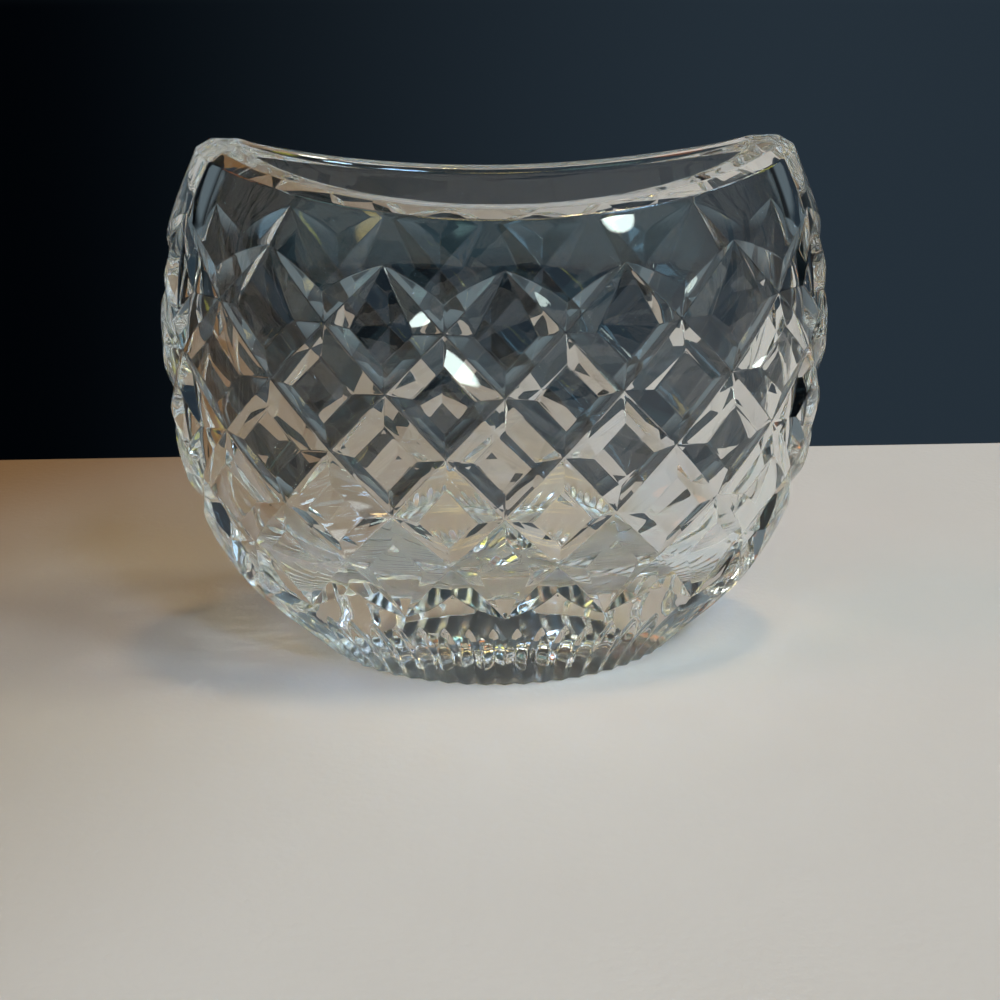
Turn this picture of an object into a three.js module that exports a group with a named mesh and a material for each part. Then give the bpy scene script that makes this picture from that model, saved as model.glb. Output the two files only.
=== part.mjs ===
// Crystal bowl: a flattened oval bowl of heavy clear cut glass, all in one piece.
// Millimetres, +Z up, the wide way along X, the foot on Z = 0 and centred on the origin.
// The front is on the -Y side.

import * as THREE from 'three';
import { mergeVertices } from 'three/addons/utils/BufferGeometryUtils.js';

// Outline of the blank before it is cut: half sizes of the oval at six heights
const footHalfWidth = 54.5;
const footHalfDepth = 42;
const heelHeight = 20;
const heelHalfWidth = 77;
const heelHalfDepth = 43.6;
const lowerHeight = 50;
const lowerHalfWidth = 90.8;
const lowerHalfDepth = 44;
const bellyHeight = 85;
const bellyHalfWidth = 95;
const bellyHalfDepth = 44;
const shoulderHeight = 120;
const shoulderHalfWidth = 91.7;
const shoulderHalfDepth = 42.8;
const rimEndHeight = 146.5;
const rimHalfWidth = 81;
const rimHalfDepth = 37.6;

// The rim rises at the two ends and dips at the front and the back
const rimDip = 13.3;
const rimBevelWidth = 3;
const rimBevelHeight = 2;
const rimInnerBevel = 1.4;

// Diamond lattice of straight V cuts that cross over the whole body
const columns = 14;
const latticeRows = 6;
const closeRows = 2;
const closeRowShare = 0.84;
const plainBand = 15.4;
const cutWidth = 11.4;
const cutDepth = 2.5;

// Fluted foot, with a plain band between the flutes and the lattice
const flutesPerColumn = 4;
const fluteHeight = 18.3;
const fluteDepth = 1.8;
const fluteFootDepth = 1;
const fluteTipLength = 7;
const footBand = 3;

// Star cut under the foot
const starPoints = 28;
const starHalfWidth = 42;
const starHalfDepth = 30;
const starValleyShare = 0.45;
const starDepth = 2.2;

// Inside
const glassUnderCuts = 9.5;
const floorHeight = 20;
const floorCorner = 18;

// Steps of the faceted surface
const halfColumnSteps = flutesPerColumn;
const stationCount = 2 * halfColumnSteps * columns;
const plainBandSteps = 2;
const footBandSteps = 2;
const fluteSteps = 4;
const insideWallSteps = 4;
const floorCornerSteps = 3;
const floorSteps = 2;
const ovalSteps = 360;

// Sizes that follow from the ones above
const wall = glassUnderCuts + cutDepth;
const rimMiddle = rimEndHeight - rimDip / 2;
const rimStart = rimMiddle - rimBevelHeight;
const latticeTop = rimMiddle - plainBand;
const latticeBottom = fluteHeight + footBand;
const openRows = latticeRows - closeRows;
const rowStep = (latticeTop - latticeBottom) / (openRows + closeRows * closeRowShare);

const outline = [
  { z: 0, width: footHalfWidth, depth: footHalfDepth },
  { z: heelHeight, width: heelHalfWidth, depth: heelHalfDepth },
  { z: lowerHeight, width: lowerHalfWidth, depth: lowerHalfDepth },
  { z: bellyHeight, width: bellyHalfWidth, depth: bellyHalfDepth },
  { z: shoulderHeight, width: shoulderHalfWidth, depth: shoulderHalfDepth },
  { z: rimEndHeight, width: rimHalfWidth, depth: rimHalfDepth },
];

// Slope of the outline at one of its points, from the points on both sides of it
function outlineSlope(size, index) {
  const below = outline[Math.max(index - 1, 0)];
  const above = outline[Math.min(index + 1, outline.length - 1)];
  return (above[size] - below[size]) / (above.z - below.z);
}

// Half width or half depth of the blank at a height, as a smooth curve through the outline
function halfSize(size, z) {
  let index = 0;
  while (index < outline.length - 2 && z > outline[index + 1].z) {
    index += 1;
  }
  const low = outline[index];
  const high = outline[index + 1];
  const span = high.z - low.z;
  const t = (z - low.z) / span;
  const fromLow = (1 + 2 * t) * (1 - t) ** 2 * low[size] + t * (1 - t) ** 2 * span * outlineSlope(size, index);
  const fromHigh = t ** 2 * (3 - 2 * t) * high[size] + t ** 2 * (t - 1) * span * outlineSlope(size, index + 1);
  return fromLow + fromHigh;
}

// Running length around the oval at a height, kept for each height that is asked for
const ovalLengths = new Map();

function lengthsAt(z) {
  const key = z.toFixed(6);
  if (!ovalLengths.has(key)) {
    const width = halfSize('width', z);
    const depth = halfSize('depth', z);
    const lengths = [0];
    for (let step = 1; step <= ovalSteps; step += 1) {
      const middle = ((step - 0.5) / ovalSteps) * 2 * Math.PI;
      const speed = Math.hypot(width * Math.cos(middle), depth * Math.sin(middle));
      lengths.push(lengths[step - 1] + speed);
    }
    ovalLengths.set(key, lengths);
  }
  return ovalLengths.get(key);
}

// Angle on the oval of a place counted in columns from the front centre, evenly by length
function ovalAngle(column, z) {
  const lengths = lengthsAt(z);
  const share = (((column % columns) + columns) % columns) / columns;
  const target = share * lengths[ovalSteps];
  let low = 0;
  let high = ovalSteps;
  while (high - low > 1) {
    const middle = Math.floor((low + high) / 2);
    if (lengths[middle] <= target) {
      low = middle;
    } else {
      high = middle;
    }
  }
  const part = (target - lengths[low]) / (lengths[high] - lengths[low]);
  return ((low + part) / ovalSteps) * 2 * Math.PI;
}

// Height of a level at an angle: levels follow the rim's dip, fading to flat at the lattice's foot
function heightOfLevel(level, angle) {
  const share = Math.max(0, (level - latticeBottom) / (rimMiddle - latticeBottom));
  return level - (rimDip / 2) * share * Math.cos(2 * angle);
}

// Point of the blank's surface at an angle and height, set in level by an inset
function levelPoint(angle, z, inset) {
  const width = halfSize('width', z);
  const depth = halfSize('depth', z);
  const outward = new THREE.Vector3(depth * Math.sin(angle), -width * Math.cos(angle), 0).normalize();
  const onSurface = new THREE.Vector3(width * Math.sin(angle), -depth * Math.cos(angle), z);
  return onSurface.addScaledVector(outward, -inset);
}

// Point of the blank's surface, sunk square to the surface by the depth of a cut
function cutPoint(column, level, depthOfCut) {
  const angle = ovalAngle(column, level);
  const z = heightOfLevel(level, angle);
  const onSurface = levelPoint(angle, z, 0);
  if (depthOfCut === 0) {
    return onSurface;
  }
  const small = 0.01;
  const around = levelPoint(angle + small, z, 0).sub(levelPoint(angle - small, z, 0));
  const up = levelPoint(angle, z + small, 0).sub(levelPoint(angle, z - small, 0));
  return onSurface.addScaledVector(around.cross(up).normalize(), -depthOfCut);
}

// Triangles of the whole surface, three points each
const trianglePoints = [];

function addTriangle(a, b, c) {
  const tiny = 1e-6;
  if (a.distanceTo(b) > tiny && b.distanceTo(c) > tiny && c.distanceTo(a) > tiny) {
    trianglePoints.push(a, b, c);
  }
}

// Patch between rows of points; seen from outside, points run to the right and rows run up
function addPatch(rows) {
  for (let row = 0; row + 1 < rows.length; row += 1) {
    for (let step = 0; step + 1 < rows[row].length; step += 1) {
      const leftLow = rows[row][step];
      const rightLow = rows[row][step + 1];
      const leftHigh = rows[row + 1][step];
      const rightHigh = rows[row + 1][step + 1];
      addTriangle(leftLow, rightLow, rightHigh);
      addTriangle(leftLow, rightHigh, leftHigh);
    }
  }
}

function between(low, high, share) {
  return low + (high - low) * share;
}

// Level of a lattice row: row 0 holds the upper tips of the cuts and the last row the lower ones
function rowLevel(row) {
  const openPart = Math.min(row, openRows);
  const closePart = Math.max(row - openRows, 0);
  return latticeTop - rowStep * (openPart + closePart * closeRowShare);
}

// Half width of a cut as a share of the distance across a diamond
const columnWidth = ((lengthsAt(bellyHeight)[ovalSteps] / ovalSteps) * 2 * Math.PI) / columns;
const diamondSide = Math.hypot(columnWidth / 2, rowStep);
const acrossDiamond = (columnWidth * rowStep) / diamondSide;
const cutShare = cutWidth / 2 / acrossDiamond;
const firstCrossing = 1 - cutShare;

// How much of its full size a cut still has at a row, as the wheel runs out to a point: with a
// roundness of 1 it tapers straight, and with more it ends blunter
function cutFade(row, roundness) {
  const rowsToTip = Math.min(row, latticeRows - row);
  const left = Math.max(0, (firstCrossing - rowsToTip) / firstCrossing);
  return 1 - left ** roundness;
}

// A cut swells sooner on the side of the plain band, and evenly on the side of the diamonds
function widthFade(row, besidePlainBand) {
  return cutFade(row, besidePlainBand ? 1.6 : 1);
}

function depthFade(row) {
  return cutFade(row, 1.5);
}

// One diamond of the lattice. Its places are counted from the top corner, s along the upper
// right side and t along the upper left side, both from 0 to 1.
class Diamond {
  constructor(column, row) {
    this.column = column;
    this.row = row;
  }

  point(s, t, depthOfCut) {
    return cutPoint(this.column + (s - t) / 2, rowLevel(this.row - 1 + s + t), depthOfCut);
  }

  startShare(row) {
    return row === 0 || row === latticeRows ? 0 : cutShare;
  }

  // Place on the edge between the uncut face and one of the four cuts around it
  edgePlace(side, share) {
    const upper = side === 'upperRight' || side === 'upperLeft';
    const firstRow = upper ? this.row - 1 : this.row;
    const along = between(this.startShare(firstRow), 1 - this.startShare(firstRow + 1), share);
    const besidePlainBand = this.row === 0 || this.row === latticeRows;
    const inward = cutShare * widthFade(firstRow + along, besidePlainBand);
    const places = {
      upperRight: [along, inward],
      upperLeft: [inward, along],
      lowerRight: [1 - inward, along],
      lowerLeft: [along, 1 - inward],
    };
    return places[side];
  }

  edgePoint(side, share) {
    const [s, t] = this.edgePlace(side, share);
    return this.point(s, t, 0);
  }

  // Point on the bottom line of one of the four cuts
  bottomPoint(side, share) {
    const upper = side === 'upperRight' || side === 'upperLeft';
    const firstRow = upper ? this.row - 1 : this.row;
    const depthHere = cutDepth * depthFade(firstRow + share);
    const places = {
      upperRight: [share, 0],
      upperLeft: [0, share],
      lowerRight: [1, share],
      lowerLeft: [share, 1],
    };
    const [s, t] = places[side];
    return this.point(s, t, depthHere);
  }

  // Sloping wall of the cut along one side
  addWall(side) {
    const edge = [];
    const bottom = [];
    for (let step = 0; step <= halfColumnSteps; step += 1) {
      edge.push(this.edgePoint(side, step / halfColumnSteps));
      bottom.push(this.bottomPoint(side, step / halfColumnSteps));
    }
    if (side === 'upperLeft') {
      addPatch([bottom, edge]);
    } else if (side === 'lowerRight') {
      addPatch([edge, bottom]);
    } else if (side === 'upperRight') {
      addPatch(bottom.map((point, step) => [point, edge[step]]));
    } else {
      addPatch(edge.map((point, step) => [point, bottom[step]]));
    }
  }

  // Uncut face, filled in evenly between its four edges
  addFace() {
    const rows = [];
    for (let i = 0; i <= halfColumnSteps; i += 1) {
      const a = i / halfColumnSteps;
      const row = [];
      for (let j = 0; j <= halfColumnSteps; j += 1) {
        const b = j / halfColumnSteps;
        const place = [0, 1].map((axis) => {
          const sides = (1 - b) * this.edgePlace('upperRight', a)[axis]
            + b * this.edgePlace('lowerLeft', a)[axis]
            + (1 - a) * this.edgePlace('upperLeft', b)[axis]
            + a * this.edgePlace('lowerRight', b)[axis];
          const corners = (1 - a) * (1 - b) * this.edgePlace('upperRight', 0)[axis]
            + a * (1 - b) * this.edgePlace('upperRight', 1)[axis]
            + (1 - a) * b * this.edgePlace('lowerLeft', 0)[axis]
            + a * b * this.edgePlace('lowerLeft', 1)[axis];
          return sides - corners;
        });
        row.push(this.point(place[0], place[1], 0));
      }
      rows.push(row);
    }
    addPatch(rows);
  }
}

function addLattice() {
  for (let row = 0; row <= latticeRows; row += 1) {
    const offset = row % 2 === 0 ? 0.5 : 0;
    for (let column = 0; column < columns; column += 1) {
      const diamond = new Diamond(column + offset, row);
      if (row > 0) {
        diamond.addWall('upperLeft');
        diamond.addWall('upperRight');
      }
      if (row < latticeRows) {
        diamond.addWall('lowerLeft');
        diamond.addWall('lowerRight');
      }
      if (row > 0 && row < latticeRows) {
        diamond.addFace();
      }
    }
  }
}

// Places, as column and level, of the zigzag edge where a plain band meets the lattice
function zigzag(column, row) {
  const diamond = new Diamond(column + 0.5, row);
  const isTop = row === 0;
  const leftSide = isTop ? 'lowerLeft' : 'upperLeft';
  const rightSide = isTop ? 'lowerRight' : 'upperRight';
  const places = [];
  for (let step = -halfColumnSteps; step <= halfColumnSteps; step += 1) {
    const share = Math.abs(step) / halfColumnSteps;
    const side = step < 0 ? leftSide : rightSide;
    const [s, t] = diamond.edgePlace(side, isTop ? 1 - share : share);
    places.push([diamond.column + (s - t) / 2, rowLevel(row - 1 + s + t)]);
  }
  return places;
}

// Plain band between two lines of places
function addBand(lowPlaces, highPlaces, steps) {
  const rows = [];
  for (let step = 0; step <= steps; step += 1) {
    const share = step / steps;
    rows.push(lowPlaces.map(([column, level], index) => {
      const [highColumn, highLevel] = highPlaces[index];
      return cutPoint(between(column, highColumn, share), between(level, highLevel, share), 0);
    }));
  }
  addPatch(rows);
}

// Level of the top edge of the flutes at a step: flute tips and ridge tops take turns
function fluteEdgeLevel(step) {
  return step % 2 === 0 ? fluteHeight - fluteTipLength : fluteHeight;
}

function addPlainBands() {
  for (let column = 0; column < columns; column += 1) {
    const rimPlaces = [];
    const flutePlaces = [];
    for (let step = 0; step <= 2 * halfColumnSteps; step += 1) {
      const place = column + step / (2 * halfColumnSteps);
      rimPlaces.push([place, rimStart]);
      flutePlaces.push([place, fluteEdgeLevel(step)]);
    }
    addBand(zigzag(column, 0), rimPlaces, plainBandSteps);
    addBand(flutePlaces, zigzag(column, latticeRows), footBandSteps);
  }
}

// Depth of a flute's hollow: shallow at the table, full half way up and nothing at its tip
function fluteHollow(level) {
  const up = level / fluteHeight;
  const swell = 4 * fluteDepth - 2 * fluteFootDepth;
  return (1 - up) * (fluteFootDepth + swell * up);
}

// Point on the fluted foot; the middle of each flute is sunk
function flutePoint(step, level, isValley) {
  const column = step / (2 * halfColumnSteps);
  return levelPoint(ovalAngle(column, level), level, isValley ? fluteHollow(level) : 0);
}

function addFlutes() {
  const ridgeTop = fluteHeight - fluteTipLength;
  for (let step = 0; step < stationCount; step += 2) {
    const rows = [];
    for (let up = 0; up <= fluteSteps; up += 1) {
      const level = (ridgeTop * up) / fluteSteps;
      rows.push([
        flutePoint(step, level, false),
        flutePoint(step + 1, level, true),
        flutePoint(step + 2, level, false),
      ]);
    }
    const tip = flutePoint(step + 1, fluteHeight, true);
    rows.push([tip, tip, tip]);
    addPatch(rows);
  }
}

// Flat ring under the foot, with the star cut inside it
function addFootFace() {
  const edge = [];
  for (let step = 0; step < stationCount; step += 1) {
    const point = flutePoint(step, 0, step % 2 === 1);
    edge.push(new THREE.Vector2(point.x, point.y));
  }
  const star = [];
  for (let step = 0; step < 2 * starPoints; step += 1) {
    const angle = (step / starPoints) * Math.PI;
    const reach = step % 2 === 0 ? 1 : starValleyShare;
    star.push(new THREE.Vector2(
      reach * starHalfWidth * Math.sin(angle),
      -reach * starHalfDepth * Math.cos(angle),
    ));
  }
  const onTable = edge.concat(star).map((point) => new THREE.Vector3(point.x, point.y, 0));
  for (const [a, b, c] of THREE.ShapeUtils.triangulateShape(edge, [star])) {
    const turn = edge.concat(star);
    const area = turn[b].clone().sub(turn[a]).cross(turn[c].clone().sub(turn[a]));
    if (area > 0) {
      addTriangle(onTable[a], onTable[c], onTable[b]);
    } else {
      addTriangle(onTable[a], onTable[b], onTable[c]);
    }
  }
  const starCentre = new THREE.Vector3(0, 0, starDepth);
  for (let step = 0; step < star.length; step += 1) {
    const here = onTable[edge.length + step];
    const next = onTable[edge.length + ((step + 1) % star.length)];
    addTriangle(starCentre, next, here);
  }
}

// Point of an oval that is smaller than the blank by as much at its ends as at its sides
function smallerOvalPoint(angle, z, less) {
  const width = halfSize('width', z) - less;
  const depth = halfSize('depth', z) - less;
  return new THREE.Vector3(width * Math.sin(angle), -depth * Math.cos(angle), z);
}

// Rings over the rim and down the inside, each as an inset and a height at every angle, and
// round the floor's corner as a lean from the wall towards the floor's edge
function insideRings() {
  const rings = [];
  const ring = (inset, heightAt, lean = 0) => rings.push({ inset, heightAt, lean });
  const rimAt = (angle) => heightOfLevel(rimStart, angle) + rimBevelHeight;
  ring(0, (angle) => rimAt(angle) - rimBevelHeight);
  ring(rimBevelWidth, rimAt);
  ring(wall - rimInnerBevel, rimAt);
  ring(wall, (angle) => rimAt(angle) - rimInnerBevel);
  const cornerTop = floorHeight + floorCorner;
  for (let step = 1; step <= insideWallSteps; step += 1) {
    const share = step / insideWallSteps;
    ring(wall, (angle) => between(rimAt(angle) - rimInnerBevel, cornerTop, share));
  }
  for (let step = 1; step <= floorCornerSteps; step += 1) {
    const turn = ((step / floorCornerSteps) * Math.PI) / 2;
    ring(wall, () => cornerTop - floorCorner * Math.sin(turn), 1 - Math.cos(turn));
  }
  return rings;
}

function addRimAndInside() {
  const pointAt = (station, { inset, heightAt, lean }) => {
    const angle = ovalAngle(station / (2 * halfColumnSteps), rimStart);
    const z = heightAt(angle);
    return levelPoint(angle, z, inset).lerp(smallerOvalPoint(angle, z, wall + floorCorner), lean);
  };
  const rows = insideRings().map((ring) => {
    const row = [];
    for (let station = 0; station <= stationCount; station += 1) {
      row.push(pointAt(station, ring));
    }
    return row;
  });
  const floorEdge = rows[rows.length - 1];
  const floorCentre = new THREE.Vector3(0, 0, floorHeight);
  for (let step = 1; step <= floorSteps; step += 1) {
    rows.push(floorEdge.map((point) => point.clone().lerp(floorCentre, step / floorSteps)));
  }
  addPatch(rows);
}

// Clear glass with a faint cool tint
function glass() {
  return new THREE.MeshStandardMaterial({
    color: 0xe4eaec,
    roughness: 0.03,
    metalness: 0,
    transparent: true,
    opacity: 0.35,
  });
}

function bowl() {
  addLattice();
  addPlainBands();
  addFlutes();
  addFootFace();
  addRimAndInside();
  const loose = new THREE.BufferGeometry().setFromPoints(trianglePoints);
  const geometry = mergeVertices(loose, 1e-4);
  geometry.computeVertexNormals();
  const mesh = new THREE.Mesh(geometry, glass());
  mesh.name = 'crystal_bowl';
  return mesh;
}

const crystalBowl = new THREE.Group();
crystalBowl.add(bowl());

export default crystalBowl;
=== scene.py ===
# Crystal bowl: a flattened oval of heavy clear cut glass, standing on a pale table.
# Metres, +Z up, the wide way along X, the front towards -Y.
import math

import bmesh
import bpy
import numpy as np
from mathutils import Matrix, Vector


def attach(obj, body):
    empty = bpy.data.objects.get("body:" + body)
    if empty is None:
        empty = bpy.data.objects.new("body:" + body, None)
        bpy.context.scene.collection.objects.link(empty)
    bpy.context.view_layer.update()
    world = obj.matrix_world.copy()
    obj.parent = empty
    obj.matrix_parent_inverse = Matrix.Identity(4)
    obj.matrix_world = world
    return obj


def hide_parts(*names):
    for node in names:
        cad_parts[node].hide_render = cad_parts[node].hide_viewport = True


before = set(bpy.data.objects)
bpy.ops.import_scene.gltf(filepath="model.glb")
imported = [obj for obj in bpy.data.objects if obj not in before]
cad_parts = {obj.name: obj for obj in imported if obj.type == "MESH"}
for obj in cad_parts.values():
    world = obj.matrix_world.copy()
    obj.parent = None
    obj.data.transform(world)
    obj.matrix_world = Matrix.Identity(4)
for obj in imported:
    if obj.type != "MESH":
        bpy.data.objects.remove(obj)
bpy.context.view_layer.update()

# The blank: height, half width and half depth of the oval, from the foot up
bowl = {
    "outline": [
        (0.0000, 0.0545, 0.0420),
        (0.0200, 0.0770, 0.0436),
        (0.0500, 0.0908, 0.0440),
        (0.0850, 0.0950, 0.0440),
        (0.1200, 0.0917, 0.0428),
        (0.1465, 0.0810, 0.0376),
    ],
    "rimDip": 0.0133,          # how far the rim falls from its ends to its middle
    "rimBevelWidth": 0.0030,
    "rimBevelHeight": 0.0020,
    "rimInnerBevel": 0.0014,
    "wall": 0.0120,
    "floorHeight": 0.020,
    "floorCorner": 0.018,
}

# The cuts
cuts = {
    "columns": 14,
    "rows": 6,
    "closeRows": 2,            # the lowest rows stand closer together
    "closeRowShare": 0.84,
    "plainBand": 0.0154,
    "width": 0.0114,
    "depth": 0.0025,
    "plainSideRoundness": 1.6,    # how blunt a cut ends beside a plain band, and in its depth
    "depthRoundness": 1.5,
    "beltHeight": 0.085,
    "flutesPerColumn": 4,
    "fluteHeight": 0.0183,
    "fluteDepth": 0.0018,      # half way up
    "fluteFootDepth": 0.0010,
    "fluteTip": 0.007,
    "fluteTipRoundness": 1.5,
    "footBand": 0.003,
    "footRingWidth": 0.012,    # about, from the star's points to the foot's edge
    "starPoints": 28,
    "starHalfWidth": 0.042,
    "starHalfDepth": 0.030,
    "starValley": 0.45,
    "starDepth": 0.0022,
}

# How finely the surface is stepped, in even steps, and how its crisp edges are eased
fineness = {
    "easedEdge": 0.00032,      # how far in from a crisp edge its rounding starts
    "easedDrop": 0.5,          # how far such an edge sinks towards the faces beside it
    "mergeDistance": 2e-6,
    "tinyEdge": 1e-6,
    "halfFlute": 3,
    "ovalTable": 720,
    "levelTable": 160,
    "plainBand": 10,
    "footBand": 6,
    "flute": 14,
    "footRing": 3,
    "rimLand": 4,
    "insideWall": 30,
    "floorCorner": 10,
    "floor": 14,
    "star": 8,
}

rimEnd = bowl["outline"][-1][0]
rimMiddle = rimEnd - bowl["rimDip"] / 2
rimStart = rimMiddle - bowl["rimBevelHeight"]
latticeTop = rimMiddle - cuts["plainBand"]
latticeBottom = cuts["fluteHeight"] + cuts["footBand"]
openRows = cuts["rows"] - cuts["closeRows"]
rowStep = (latticeTop - latticeBottom) / (openRows + cuts["closeRows"] * cuts["closeRowShare"])


def halfSize(which, z):
    # smooth curve through the outline's points, which 1 is the half width and 2 the half depth
    points = np.array(bowl["outline"])
    heights = points[:, 0]
    sizes = points[:, which]
    slopes = np.empty(len(points))
    slopes[1:-1] = (sizes[2:] - sizes[:-2]) / (heights[2:] - heights[:-2])
    slopes[0] = (sizes[1] - sizes[0]) / (heights[1] - heights[0])
    slopes[-1] = (sizes[-1] - sizes[-2]) / (heights[-1] - heights[-2])
    z = np.asarray(z, float)
    index = np.clip(np.searchsorted(heights, z) - 1, 0, len(points) - 2)
    span = heights[index + 1] - heights[index]
    t = (z - heights[index]) / span
    low = (1 + 2 * t) * (1 - t) ** 2 * sizes[index] + t * (1 - t) ** 2 * span * slopes[index]
    high = t ** 2 * (3 - 2 * t) * sizes[index + 1] + t ** 2 * (t - 1) * span * slopes[index + 1]
    return low + high


def ovalTable():
    # angle of each share of the way round the oval, for a ladder of levels
    levels = np.linspace(0, rimEnd, fineness["levelTable"])
    steps = fineness["ovalTable"]
    middles = (np.arange(steps) + 0.5) / steps * 2 * math.pi
    shares = np.linspace(0, 1, steps + 1)
    angles = np.linspace(0, 2 * math.pi, steps + 1)
    table = []
    for level in levels:
        speed = np.hypot(halfSize(1, level) * np.cos(middles), halfSize(2, level) * np.sin(middles))
        length = np.concatenate([[0], np.cumsum(speed)])
        table.append(np.interp(shares, length / length[-1], angles))
    return levels, np.array(table)


tableLevels, tableAngles = ovalTable()


def ovalAngle(column, level):
    # angle of a place counted in columns from the front middle, evenly by length
    share = np.mod(np.asarray(column, float), cuts["columns"]) / cuts["columns"]
    across = share * fineness["ovalTable"]
    up = np.asarray(level, float) / rimEnd * (fineness["levelTable"] - 1)
    i = np.clip(np.floor(across).astype(int), 0, fineness["ovalTable"] - 1)
    j = np.clip(np.floor(up).astype(int), 0, fineness["levelTable"] - 2)
    a = across - i
    b = up - j
    lower = tableAngles[j, i] * (1 - a) + tableAngles[j, i + 1] * a
    upper = tableAngles[j + 1, i] * (1 - a) + tableAngles[j + 1, i + 1] * a
    return lower * (1 - b) + upper * b


def heightOfLevel(level, angle):
    share = np.maximum(0, (level - latticeBottom) / (rimMiddle - latticeBottom))
    return level - bowl["rimDip"] / 2 * share * np.cos(2 * angle)


def levelPoint(angle, z, inset):
    # point of the blank set in by an inset, without a change of height
    width = halfSize(1, z)
    depth = halfSize(2, z)
    outX = depth * np.sin(angle)
    outY = -width * np.cos(angle)
    length = np.hypot(outX, outY)
    x = width * np.sin(angle) - inset * outX / length
    y = -depth * np.cos(angle) - inset * outY / length
    return np.stack(np.broadcast_arrays(x, y, z), axis=-1).astype(float)


def cutPoint(column, level, depthOfCut):
    # point of the blank sunk square to its surface
    angle = ovalAngle(column, level)
    z = heightOfLevel(level, angle)
    small = 1e-4
    place = levelPoint(angle, z, 0)
    around = levelPoint(angle + small, z, 0) - levelPoint(angle - small, z, 0)
    up = levelPoint(angle, z + small, 0) - levelPoint(angle, z - small, 0)
    outward = np.cross(around, up)
    outward /= np.linalg.norm(outward, axis=-1, keepdims=True)
    return place - outward * np.asarray(depthOfCut, float)[..., None]


def rowLevel(row):
    row = np.asarray(row, float)
    openPart = np.minimum(row, openRows)
    closePart = np.maximum(row - openRows, 0)
    return latticeTop - rowStep * (openPart + closePart * cuts["closeRowShare"])


def beltLength():
    # length round the blank at its belt
    angles = (np.arange(fineness["ovalTable"]) + 0.5) / fineness["ovalTable"] * 2 * math.pi
    width = halfSize(1, cuts["beltHeight"])
    depth = halfSize(2, cuts["beltHeight"])
    return float(np.mean(np.hypot(width * np.cos(angles), depth * np.sin(angles))) * 2 * math.pi)


columnWidth = beltLength() / cuts["columns"]
diamondSide = math.hypot(columnWidth / 2, rowStep)
cutShare = cuts["width"] / 2 * diamondSide / (columnWidth * rowStep)
firstCrossing = 1 - cutShare


def cutFade(row, roundness):
    # share of its full size that a cut still has, as the wheel runs out to a point:
    # a roundness of 1 tapers it straight, and more ends it blunter
    rowsToTip = np.minimum(row, cuts["rows"] - row)
    left = np.maximum(0, (firstCrossing - rowsToTip) / firstCrossing)
    return 1 - left ** roundness


def widthFade(row, besidePlainBand):
    # a cut swells sooner on the side of the plain band, and evenly on the side of the diamonds
    return cutFade(row, cuts["plainSideRoundness"] if besidePlainBand else 1)


def depthFade(row):
    return cutFade(row, cuts["depthRoundness"])


def easedShares(steps, length):
    # even shares of a length, with one more close to each end, where the edge's rounding starts
    ease = fineness["easedEdge"] / length
    even = np.linspace(0, 1, steps + 1)
    return np.concatenate([[0, ease], even[1:-1], [1 - ease, 1]])


fluteHalfWidth = columnWidth / (2 * cuts["flutesPerColumn"])
fluteShares = easedShares(fineness["halfFlute"], fluteHalfWidth)
sideSteps = cuts["flutesPerColumn"] * (len(fluteShares) - 1)
sideShares = easedShares(sideSteps - 2, diamondSide)
wallShares = easedShares(1, math.hypot(cuts["width"] / 2, cuts["depth"]))


def columnStations(column):
    # places across one column, matched to the ridges and hollows of its flutes
    halves = np.arange(2 * cuts["flutesPerColumn"])[:, None]
    places = (halves + fluteShares[None, :-1]).ravel() / (2 * cuts["flutesPerColumn"])
    return column + np.append(places, 1)


def allStations():
    places = [columnStations(column)[:-1] for column in range(cuts["columns"])]
    return np.append(np.concatenate(places), cuts["columns"])


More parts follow.
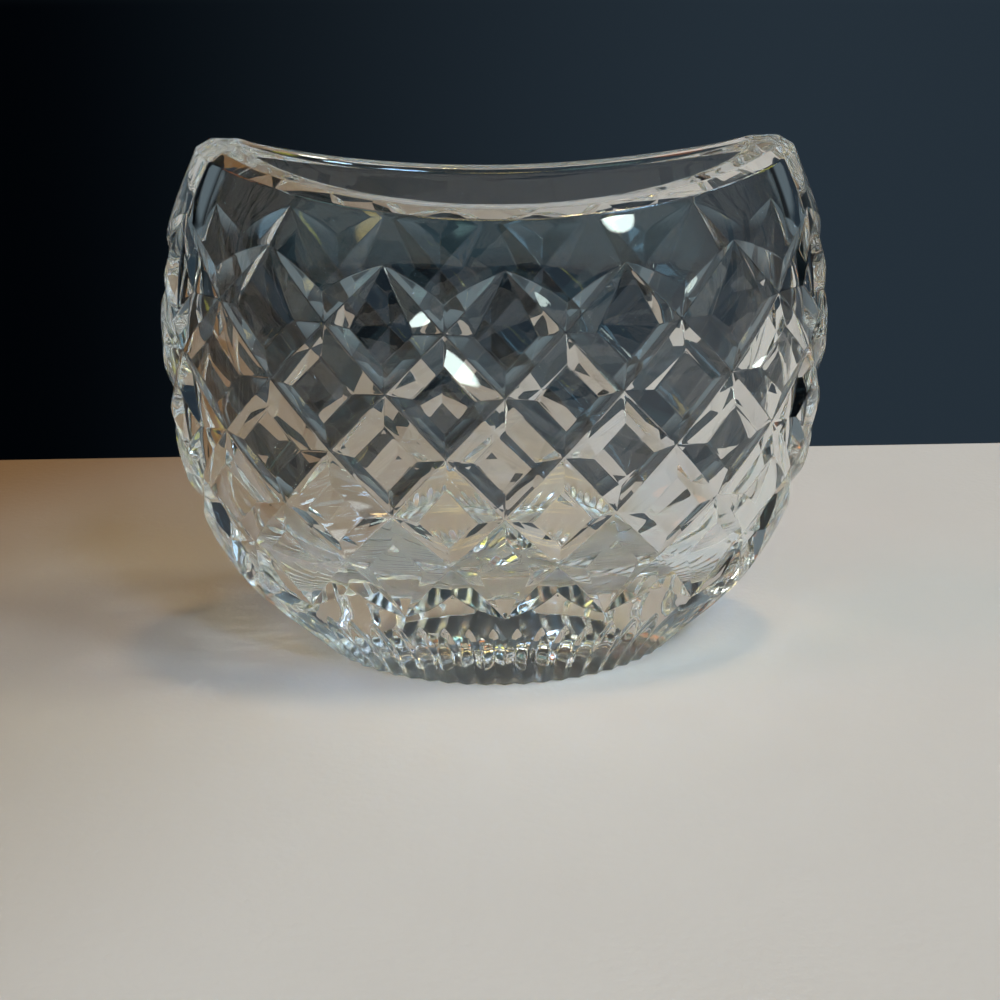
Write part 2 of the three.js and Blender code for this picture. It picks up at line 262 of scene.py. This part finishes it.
class Skin:
    # patches of faces; each patch belongs to a surface, and the edges between surfaces are eased
    def __init__(self):
        self.points = []
        self.faces = []
        self.surfaces = []
        self.surfaceCount = 0
        self.pointCount = 0

    def newSurface(self):
        self.surfaceCount += 1
        return self.surfaceCount

    def addPatch(self, grid, surface):
        # seen from outside, points run to the right and rows run up
        grid = np.asarray(grid, float)
        rows, steps = grid.shape[:2]
        index = self.pointCount + np.arange(rows * steps).reshape(rows, steps)
        quads = np.stack([index[:-1, :-1], index[:-1, 1:], index[1:, 1:], index[1:, :-1]], axis=-1)
        self.points.append(grid.reshape(-1, 3))
        self.faces.append(quads.reshape(-1, 4))
        self.surfaces.append(np.full(quads.shape[0] * quads.shape[1], surface))
        self.pointCount += rows * steps

    def makeObject(self, name):
        points = np.concatenate(self.points)
        faces = np.concatenate(self.faces)
        surfaces = np.concatenate(self.surfaces)
        mesh = bpy.data.meshes.new(name)
        mesh.from_pydata(points.tolist(), [], faces.tolist())
        surfaceLayer = mesh.attributes.new("surface", "INT", "FACE")
        surfaceLayer.data.foreach_set("value", surfaces.astype(np.int32))
        sheet = bmesh.new()
        sheet.from_mesh(mesh)
        bmesh.ops.remove_doubles(sheet, verts=sheet.verts, dist=fineness["mergeDistance"])
        bmesh.ops.dissolve_degenerate(sheet, edges=sheet.edges, dist=fineness["tinyEdge"])
        openEdges = sum(len(edge.link_faces) != 2 for edge in sheet.edges)
        self.easeEdges(sheet)
        for face in sheet.faces:
            face.smooth = True
        sheet.to_mesh(mesh)
        sheet.free()
        mesh.attributes.remove(mesh.attributes["surface"])
        print(name, "faces", len(mesh.polygons), "open edges", openEdges)
        piece = bpy.data.objects.new(name, mesh)
        bpy.context.scene.collection.objects.link(piece)
        return piece

    def easeEdges(self, sheet):
        # points where surfaces meet sink towards the points beside the edge
        layer = sheet.faces.layers.int["surface"]
        onEdge = [len({face[layer] for face in point.link_faces}) > 1 for point in sheet.verts]
        sheet.verts.index_update()
        moves = []
        for point in sheet.verts:
            if not onEdge[point.index] or point.co.z < fineness["tinyEdge"]:
                continue
            others = [edge.other_vert(point) for edge in point.link_edges]
            beside = [other.co for other in others if not onEdge[other.index]]
            if beside:
                middle = sum(beside, Vector()) / len(beside)
                moves.append((point, (middle - point.co) * fineness["easedDrop"]))
        for point, move in moves:
            point.co += move


def diamondPlace(column, row, s, t):
    # s runs down the upper right side of a diamond and t down its upper left side
    return column + (s - t) / 2, rowLevel(row - 1 + s + t)


def startShare(row):
    return 0.0 if row in (0, cuts["rows"]) else cutShare


def edgePlace(row, side, share):
    # places on the line between the uncut face and one of the four cuts
    firstRow = row - 1 if side.startswith("upper") else row
    low = startShare(firstRow)
    along = low + (1 - startShare(firstRow + 1) - low) * share
    inward = cutShare * widthFade(firstRow + along, row in (0, cuts["rows"]))
    return {
        "upperRight": (along, inward),
        "upperLeft": (inward, along),
        "lowerRight": (1 - inward, along),
        "lowerLeft": (along, 1 - inward),
    }[side]


def bottomPlace(row, side, share):
    # places and depths on the bottom line of one of the four cuts
    firstRow = row - 1 if side.startswith("upper") else row
    zero = np.zeros_like(share)
    place = {
        "upperRight": (share, zero),
        "upperLeft": (zero, share),
        "lowerRight": (zero + 1, share),
        "lowerLeft": (share, zero + 1),
    }[side]
    return place, cuts["depth"] * depthFade(firstRow + share)


def addCutWall(skin, column, row, side):
    edge = cutPoint(*diamondPlace(column, row, *edgePlace(row, side, sideShares)), np.zeros_like(sideShares))
    place, depth = bottomPlace(row, side, sideShares)
    bottom = cutPoint(*diamondPlace(column, row, *place), depth)
    up = wallShares[:, None, None]
    wall = bottom * (1 - up) + edge * up
    if side.startswith("lower"):
        wall = wall[::-1]
    if side in ("upperRight", "lowerLeft"):
        wall = wall.swapaxes(0, 1)
    skin.addPatch(wall, skin.newSurface())


def addDiamondFace(skin, column, row):
    # uncut face, filled in evenly between its four edges
    a = sideShares[:, None]
    b = sideShares[None, :]
    place = []
    for axis in (0, 1):
        upperRight = edgePlace(row, "upperRight", sideShares)[axis]
        lowerLeft = edgePlace(row, "lowerLeft", sideShares)[axis]
        upperLeft = edgePlace(row, "upperLeft", sideShares)[axis]
        lowerRight = edgePlace(row, "lowerRight", sideShares)[axis]
        sides = (1 - b) * upperRight[:, None] + b * lowerLeft[:, None]
        sides = sides + (1 - a) * upperLeft[None, :] + a * lowerRight[None, :]
        corners = (1 - a) * (1 - b) * upperRight[0] + a * (1 - b) * upperRight[-1]
        corners = corners + (1 - a) * b * lowerLeft[0] + a * b * lowerLeft[-1]
        place.append(sides - corners)
    column, level = diamondPlace(column, row, *place)
    skin.addPatch(cutPoint(column, level, np.zeros_like(column)), skin.newSurface())


def addLattice(skin):
    for row in range(cuts["rows"] + 1):
        for step in range(cuts["columns"]):
            column = step + (0.5 if row % 2 == 0 else 0)
            if row > 0:
                addCutWall(skin, column, row, "upperLeft")
                addCutWall(skin, column, row, "upperRight")
            if row < cuts["rows"]:
                addCutWall(skin, column, row, "lowerLeft")
                addCutWall(skin, column, row, "lowerRight")
            if 0 < row < cuts["rows"]:
                addDiamondFace(skin, column, row)


def zigzag(column, row):
    # line where a plain band meets the lattice, across one column
    upperOrLower = "lower" if row == 0 else "upper"
    left = np.array(edgePlace(row, upperOrLower + "Left", sideShares))
    right = np.array(edgePlace(row, upperOrLower + "Right", sideShares))
    if row == 0:
        right = right[:, ::-1]
    else:
        left = left[:, ::-1]
    s, t = np.concatenate([left, right[:, 1:]], axis=1)
    return diamondPlace(column + 0.5, row, s, t)


def addBand(skin, lower, upper, shares, surface):
    share = shares[:, None]
    column = lower[0] * (1 - share) + upper[0] * share
    level = lower[1] * (1 - share) + upper[1] * share
    skin.addPatch(cutPoint(column, level, np.zeros_like(column)), surface)


def fluteEdge(stations):
    # level of the upper edge of the flutes: it falls from each flute's tip to the ridges beside it
    turn = np.mod(stations * cuts["flutesPerColumn"], 1)
    return cuts["fluteHeight"] - cuts["fluteTip"] * np.abs(2 * turn - 1) ** cuts["fluteTipRoundness"]


def addPlainBands(skin):
    above = skin.newSurface()
    below = skin.newSurface()
    aboveShares = easedShares(fineness["plainBand"], cuts["plainBand"])
    belowShares = easedShares(fineness["footBand"], 2 * cuts["footBand"])
    for column in range(cuts["columns"]):
        stations = columnStations(column)
        rimLine = (stations, np.full_like(stations, rimStart))
        addBand(skin, zigzag(column, 0), rimLine, aboveShares, above)
        addBand(skin, (stations, fluteEdge(stations)), zigzag(column, cuts["rows"]), belowShares, below)


def flutePoint(stations, level):
    # a flute is a V cut: shallow at the table, full half way up and nothing at its tip
    turn = np.mod(stations * cuts["flutesPerColumn"], 1)
    fromMiddle = np.abs(2 * turn - 1)
    up = level / cuts["fluteHeight"]
    swell = 4 * cuts["fluteDepth"] - 2 * cuts["fluteFootDepth"]
    middleDepth = (1 - up) * (cuts["fluteFootDepth"] + swell * up)
    toTop = np.clip((cuts["fluteHeight"] - level) / cuts["fluteTip"], 1e-9, 1)
    sunk = middleDepth * np.maximum(0, 1 - fromMiddle / toTop ** (1 / cuts["fluteTipRoundness"]))
    return levelPoint(ovalAngle(stations, level), level, sunk)


def addFlutes(skin):
    shares = easedShares(fineness["flute"], cuts["fluteHeight"])[:, None]
    stations = allStations()
    steps = len(fluteShares) - 1
    for first in range(0, len(stations) - 1, steps):
        across = stations[first:first + steps + 1]
        level = shares * fluteEdge(across)
        skin.addPatch(flutePoint(np.broadcast_to(across, level.shape), level), skin.newSurface())


def addFootFace(skin):
    # flat ring that meets the table, then the star inside it
    stations = allStations()
    outer = flutePoint(stations, np.zeros_like(stations))
    corners = np.arange(2 * cuts["starPoints"] + 1)
    angle = corners / cuts["starPoints"] * math.pi
    reach = np.where(corners % 2 == 0, 1, cuts["starValley"])
    x = reach * cuts["starHalfWidth"] * np.sin(angle)
    y = -reach * cuts["starHalfDepth"] * np.cos(angle)
    corner = np.stack([x, y, np.zeros_like(x)], -1)
    facetSteps = (len(stations) - 1) // (2 * cuts["starPoints"])
    facetShares = easedShares(facetSteps - 2, float(np.linalg.norm(corner[1] - corner[0])))[:, None]
    sides = [corner[i] * (1 - facetShares) + corner[i + 1] * facetShares for i in corners[:-1]]
    star = np.concatenate([side[:-1] for side in sides] + [corner[-1:]])
    share = easedShares(fineness["footRing"], cuts["footRingWidth"])[:, None, None]
    skin.addPatch(star * (1 - share) + outer * share, skin.newSurface())
    centre = np.array([0, 0, cuts["starDepth"]])
    # the points crowd at the centre, so no extra ring is set beside it
    share = np.delete(easedShares(fineness["star"], cuts["starHalfDepth"]), 1)[:, None, None]
    for side in sides:
        skin.addPatch(centre * (1 - share) + side * share, skin.newSurface())


def smallerOval(angle, z, less):
    # ring on an oval whose half sizes are both less
    x = (halfSize(1, z) - less) * np.sin(angle)
    y = -(halfSize(2, z) - less) * np.cos(angle)
    return np.stack([x, y, z], -1)


def addRings(skin, first, last, steps, length):
    # a surface between two rings
    share = easedShares(steps, length)[:, None, None]
    skin.addPatch(first * (1 - share) + last * share, skin.newSurface())


def addRimAndInside(skin):
    stations = allStations()
    angle = ovalAngle(stations, np.full_like(stations, rimStart))
    rimHeight = heightOfLevel(rimStart, angle) + bowl["rimBevelHeight"]
    cornerTop = bowl["floorHeight"] + bowl["floorCorner"]
    wall = bowl["wall"]
    innerTop = rimHeight - bowl["rimInnerBevel"]

    # over the rim: outer bevel, flat land, inner bevel
    outerFoot = levelPoint(angle, rimHeight - bowl["rimBevelHeight"], 0)
    landStart = levelPoint(angle, rimHeight, bowl["rimBevelWidth"])
    landEnd = levelPoint(angle, rimHeight, wall - bowl["rimInnerBevel"])
    wallTop = levelPoint(angle, innerTop, wall)
    addRings(skin, outerFoot, landStart, 1, math.hypot(bowl["rimBevelWidth"], bowl["rimBevelHeight"]))
    addRings(skin, landStart, landEnd, fineness["rimLand"], wall - bowl["rimBevelWidth"])
    addRings(skin, landEnd, wallTop, 1, bowl["rimInnerBevel"] * math.sqrt(2))

    # down the wall, round the floor's corner and over the floor
    rows = []
    for share in easedShares(fineness["insideWall"], rimMiddle - cornerTop):
        rows.append(levelPoint(angle, innerTop * (1 - share) + cornerTop * share, wall))
    for turn in np.linspace(0, math.pi / 2, fineness["floorCorner"] + 1)[1:]:
        z = np.full_like(angle, cornerTop - bowl["floorCorner"] * math.sin(turn))
        lean = 1 - math.cos(turn)
        floorSide = smallerOval(angle, z, wall + bowl["floorCorner"])
        rows.append(levelPoint(angle, z, wall) * (1 - lean) + floorSide * lean)
    floorEdge = rows[-1]
    centre = np.array([0, 0, bowl["floorHeight"]])
    for share in np.linspace(0, 1, fineness["floor"] + 1)[1:]:
        rows.append(floorEdge * (1 - share) + centre * share)
    skin.addPatch(rows, skin.newSurface())


class Wire:
    # a node's output that takes part in sums
    def __init__(self, bench, socket):
        self.bench = bench
        self.socket = socket

    def math(self, operation, first, second):
        return self.bench.add("Math", {"operation": operation}, {0: first, 1: second})

    def __add__(self, other):
        return self.math("ADD", self, other)

    __radd__ = __add__

    def __mul__(self, other):
        return self.math("MULTIPLY", self, other)

    __rmul__ = __mul__

    def __sub__(self, other):
        return self.math("SUBTRACT", self, other)

    def __rsub__(self, other):
        return self.math("SUBTRACT", other, self)


class Bench:
    # a node tree and the one way of adding to it
    def __init__(self, tree):
        self.tree = tree
        tree.nodes.clear()

    def add(self, kind, settings=None, inputs=None, output=0):
        node = self.tree.nodes.new("ShaderNode" + kind)
        for name, value in (settings or {}).items():
            setattr(node, name, value)
        for name, value in (inputs or {}).items():
            socket = node.inputs[name]
            if isinstance(value, Wire):
                self.tree.links.new(value.socket, socket)
            else:
                socket.default_value = value
        return Wire(self, node.outputs[output]) if len(node.outputs) else node

    def blend(self, factor, first, second):
        # colour between two colours
        return self.add("Mix", {"data_type": "RGBA"}, {"Factor": factor, 6: first, 7: second}, output=2)

    def rise(self, value, low, high):
        # 0 below the low value, 1 above the high one, smooth between
        return self.add("MapRange", {"interpolation_type": "SMOOTHSTEP"},
                        {"Value": value, "From Min": low, "From Max": high})


def newMaterial(name):
    material = bpy.data.materials.new(name)
    material.use_nodes = True
    return material, Bench(material.node_tree)


crystal = {
    "ior": 1.55,
    "tint": (0.978, 0.984, 0.977, 1),
    "roughLow": 0.0,
    "roughHigh": 0.035,
    "groundFoot": 0.16,        # roughness of the foot's ground underside
    "groundStart": 0.0002,     # heights over which that fades out
    "groundEnd": 0.0006,
    "smearScale": 26.0,
    "smearStart": 0.55,        # how much of the noise stays polished
    "smearFull": 0.8,
    "waveScale": 55.0,
    "waveHeight": 0.00003,
}


def makeCrystal():
    material, bench = newMaterial("cutCrystal")
    place = bench.add("TexCoord", output="Object")
    smear = bench.add("TexNoise", inputs={"Vector": place, "Scale": crystal["smearScale"], "Detail": 4.0})
    smear = bench.add("MapRange", inputs={
        "Value": smear,
        "From Min": crystal["smearStart"],
        "From Max": crystal["smearFull"],
        "To Min": crystal["roughLow"],
        "To Max": crystal["roughHigh"],
    })
    height = bench.add("SeparateXYZ", inputs={"Vector": place}, output="Z")
    under = 1 - bench.rise(height, crystal["groundStart"], crystal["groundEnd"])
    smear = smear + under * crystal["groundFoot"]
    wave = bench.add("TexNoise", inputs={"Vector": place, "Scale": crystal["waveScale"], "Detail": 1.0})
    bump = bench.add("Bump", inputs={"Height": wave, "Distance": crystal["waveHeight"], "Strength": 1.0})
    shader = bench.add("BsdfPrincipled", inputs={
        "Base Color": crystal["tint"],
        "Roughness": smear,
        "IOR": crystal["ior"],
        "Transmission Weight": 1.0,
        "Normal": bump,
    })
    bench.add("OutputMaterial", inputs={"Surface": shader})
    return material


table = {
    "halfWidth": 0.62,
    "front": -0.34,
    "back": 0.158,
    "height": -0.0004,         # just under the foot
    "edgeRound": 0.008,
    "edgeDrop": 0.06,
    "color": (0.705, 0.667, 0.665, 1),
    "colorDark": (0.638, 0.595, 0.582, 1),
    # painted shade: the cloth is coloured darker towards the left and browner towards the far left, where
    # the table lies in shade
    "paintedShadeLeft": (0.44, 0.375, 0.32, 1),
    "paintedShadeFarLeft": (0.22, 0.11, 0.04, 1),
    "paintedShadeLeftFade": (-0.06, 0.15),    # how far to the left the painted shade reaches
    "paintedShadeFarLeftFade": (0.10, 0.36),
    "edgeSteps": 8,
    "roughness": 0.75,
    "mottleScale": 9.0,
    "weaveScale": 420.0,
    "weaveShare": 0.2,
    "creaseScale": 14.0,
    "creaseHeight": 0.0012,
}


def makeTable():
    # a cloth that rolls over the table's back edge
    profile = [(table["front"], 0.0)]
    for step in range(table["edgeSteps"] + 1):
        turn = step / table["edgeSteps"] * math.pi / 2
        profile.append((table["back"] + table["edgeRound"] * math.sin(turn),
                        -table["edgeRound"] * (1 - math.cos(turn))))
    profile.append((profile[-1][0], -table["edgeDrop"]))
    w = table["halfWidth"]
    points = [(side * w, y, z + table["height"]) for y, z in profile for side in (-1, 1)]
    faces = [(2 * i, 2 * i + 1, 2 * i + 3, 2 * i + 2) for i in range(len(profile) - 1)]
    mesh = bpy.data.meshes.new("tableTop")
    mesh.from_pydata(points, [], faces)
    mesh.polygons.foreach_set("use_smooth", [True] * len(faces))
    floor = bpy.data.objects.new("tableTop", mesh)
    bpy.context.scene.collection.objects.link(floor)
    material, bench = newMaterial("paleCloth")
    place = bench.add("TexCoord", output="Object")
    mottle = bench.add("TexNoise", inputs={
        "Vector": place,
        "Scale": table["mottleScale"],
        "Detail": 6.0,
        "Roughness": 0.6,
    })
    color = bench.blend(mottle, table["colorDark"], table["color"])
    x = bench.add("SeparateXYZ", inputs={"Vector": place}, output="X")
    y = bench.add("SeparateXYZ", inputs={"Vector": place}, output="Y")
    # painted shade: darker towards the left, then browner towards the far left
    left = bench.rise(y * 0.6 - x, *table["paintedShadeLeftFade"])
    color = bench.blend(left, color, table["paintedShadeLeft"])
    farLeftShade = bench.rise(y - x, *table["paintedShadeFarLeftFade"])
    color = bench.blend(farLeftShade, color, table["paintedShadeFarLeft"])
    weave = bench.add("TexNoise", inputs={"Vector": place, "Scale": table["weaveScale"], "Detail": 2.0})
    crease = bench.add("TexNoise", inputs={"Vector": place, "Scale": table["creaseScale"], "Detail": 3.0})
    bump = bench.add("Bump", inputs={
        "Height": weave * table["weaveShare"] + crease,
        "Distance": table["creaseHeight"],
        "Strength": 0.5,
    })
    shader = bench.add("BsdfPrincipled", inputs={"Base Color": color, "Roughness": table["roughness"],
                                                 "Normal": bump})
    bench.add("OutputMaterial", inputs={"Surface": shader})
    mesh.materials.append(material)


# The room around the bowl, by direction: a dark backdrop behind it, a faint glow in front of it,
# dim sides and a dim floor. A fade is the pair of places that it starts and ends at.
room = {
    "floor": (0.03, 0.04, 0.05, 1),
    "sides": (0.012, 0.014, 0.016, 1),
    "backdropLeft": (0.0004, 0.0009, 0.0016, 1),
    "backdropRight": (0.019, 0.030, 0.042, 1),
    "backdropHigh": (0.11, 0.145, 0.165, 1),
    "floorFade": (-0.15, -0.05),      # from the floor to the sides, as sines of the elevation
    "backdropHighFade": (-0.05, 0.05),
    "backdropTopFade": (0.22, 0.34),
    "backdropSideFade": (0.27, 0.42),  # how far to the sides the backdrop reaches, as a cosine
    "backdropTurn": (-0.27, 0.28),    # from its left to its right tone
    "frontGlow": (0.14, 0.26, 0.30, 1),
    "frontGlowSideFade": (0.60, 0.75),
    "frontGlowLowFade": (-0.02, 0.02),
    "frontGlowTopFade": (0.36, 0.41),
}

# Soft lights, in degrees: height, turn from the front towards the right, radius and soft edge
lights = {
    "front": {"height": 45, "turn": 0, "radius": 7, "soft": 6, "color": (4.8, 3.8, 1.3)},
    "frontLeft": {"height": 50, "turn": -35, "radius": 7, "soft": 6, "color": (0.7, 1.4, 1.3)},
    "left": {"height": 50, "turn": -85, "radius": 8, "soft": 4, "color": (2.4, 0.7, 0.1)},
    "frontWindow": {"height": 50, "turn": 35, "radius": 5, "soft": 1.2, "color": (13.0, 20.0, 31.0)},
    "frontWindowLow": {"height": 33, "turn": 30, "radius": 7, "soft": 4, "color": (1.1, 2.2, 3.1)},
    "lowWindow": {"height": 13.5, "turn": 26, "radius": 3.0, "soft": 0.9, "color": (17.0, 20.5, 19.5)},
    "rightWindow": {"height": 48, "turn": 65, "radius": 4.2, "soft": 1, "color": (14.0, 20.0, 26.0)},
    "right": {"height": 50, "turn": 90, "radius": 4.8, "soft": 1, "color": (19.0, 19.5, 17.0)},
    "rightLow": {"height": 33, "turn": 90, "radius": 6, "soft": 4, "color": (2.9, 2.9, 0.4)},
    "rightHigh": {"height": 65, "turn": 80, "radius": 5, "soft": 4, "color": (5.2, 5.7, 6.0)},
    "lamp": {"height": 79.6, "turn": 118, "radius": 2.2, "soft": 0.8, "color": (78.0, 55.0, 26.0)},
}


def makeRoom():
    world = bpy.data.worlds.new("room")
    bpy.context.scene.world = world
    world.use_nodes = True
    bench = Bench(world.node_tree)
    way = bench.add("TexCoord", output="Generated")
    x = bench.add("SeparateXYZ", inputs={"Vector": way}, output="X")
    y = bench.add("SeparateXYZ", inputs={"Vector": way}, output="Y")
    z = bench.add("SeparateXYZ", inputs={"Vector": way}, output="Z")
    color = bench.blend(bench.rise(z, *room["floorFade"]), room["floor"], room["sides"])
    across = bench.rise(x, *room["backdropTurn"])
    backdrop = bench.blend(across, room["backdropLeft"], room["backdropRight"])
    high = bench.rise(z, *room["backdropHighFade"])
    backdrop = bench.blend(high, backdrop, room["backdropHigh"])
    behind = bench.rise(y, *room["backdropSideFade"])
    under = 1 - bench.rise(z, *room["backdropTopFade"])
    color = bench.blend(behind * under, color, backdrop)
    ahead = bench.rise(0 - y, *room["frontGlowSideFade"]) * bench.rise(z, *room["frontGlowLowFade"])
    ahead = ahead * (1 - bench.rise(z, *room["frontGlowTopFade"]))
    color = bench.blend(ahead, color, room["frontGlow"])
    for light in lights.values():
        height = math.radians(light["height"])
        turn = math.radians(light["turn"])
        level = math.cos(height)
        towards = (level * math.sin(turn), -level * math.cos(turn), math.sin(height))
        nearness = bench.add("VectorMath", {"operation": "DOT_PRODUCT"}, {0: way, 1: towards},
                             output="Value")
        edge = math.cos(math.radians(light["radius"] + light["soft"]))
        core = math.cos(math.radians(light["radius"]))
        color = bench.blend(bench.rise(nearness, edge, core), color, (*light["color"], 1))
    shade = bench.add("Background", inputs={"Color": color, "Strength": 1.0})
    bench.add("OutputWorld", inputs={"Surface": shade})


camera = {
    "distance": 0.4195,
    "side": 0.0008,
    "height": 0.2015,
    "pitch": 0.3677,
    "yaw": 0.052,
    "focalPixels": 1503,
    "imagePixels": 1000,
    "sensor": 36.0,
}


def makeCamera():
    lens = bpy.data.cameras.new("camera")
    lens.sensor_width = camera["sensor"]
    lens.lens = camera["focalPixels"] / camera["imagePixels"] * camera["sensor"]
    lens.clip_start = 0.01
    eye = bpy.data.objects.new("camera", lens)
    bpy.context.scene.collection.objects.link(eye)
    yaw = camera["yaw"]
    eye.location = (camera["side"] * math.cos(yaw) - camera["distance"] * math.sin(yaw),
                    -camera["side"] * math.sin(yaw) - camera["distance"] * math.cos(yaw),
                    camera["height"])
    eye.rotation_euler = (math.pi / 2 - camera["pitch"], 0, -yaw)
    bpy.context.scene.camera = eye


def makeBowl():
    skin = Skin()
    addLattice(skin)
    addPlainBands(skin)
    addFlutes(skin)
    addFootFace(skin)
    addRimAndInside(skin)
    piece = skin.makeObject("bowlGlass")
    piece.data.materials.append(makeCrystal())
    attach(piece, "root")
    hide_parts("crystal_bowl")


makeRoom()
makeTable()
makeCamera()
print("room, table and camera are set")
makeBowl()
print("bowl is cut")

scene = bpy.context.scene
scene.view_settings.view_transform = "Standard"
scene.cycles.max_bounces = 24
scene.cycles.transmission_bounces = 24
scene.cycles.glossy_bounces = 16
scene.cycles.diffuse_bounces = 4
scene.cycles.blur_glossy = 0.1
